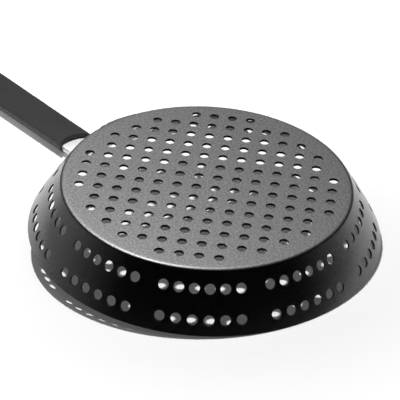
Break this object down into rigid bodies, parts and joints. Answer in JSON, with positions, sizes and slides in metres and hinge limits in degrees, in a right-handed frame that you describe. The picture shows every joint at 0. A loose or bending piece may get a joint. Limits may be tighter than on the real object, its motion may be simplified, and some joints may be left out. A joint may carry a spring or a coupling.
{
  "type": "grill frying pan",
  "caption": "Perforated frying pan for a grill: flared pressed pan with holes in base and wall, riveted steel bracket, flame guard and moulded grip with a hanging hole.",
  "frame": {"origin": "middle of the base's outer face, which is uppermost as pictured", "axes": "+Z out of the base's outer face, with the mouth towards -Z; +X from the middle of the pan along its handle"},
  "size_m": [0.4981, 0.28, 0.0908],
  "materials": {
    "coated_steel": "satin speckled non-stick coating",
    "bright_steel": "polished",
    "plated_steel": "plated",
    "black_moulding": "satin"
  },
  "bodies": {
    "root": {"pan_body": "coated_steel", "handle_bracket": "bright_steel", "rivet_middle": "plated_steel", "rivet_left": "plated_steel", "rivet_right": "plated_steel", "flame_guard": "bright_steel", "grip": "black_moulding", "tang_nut": "plated_steel", "tie_screw": "plated_steel", "screw_washer": "plated_steel"}
  },
  "joints": []
}
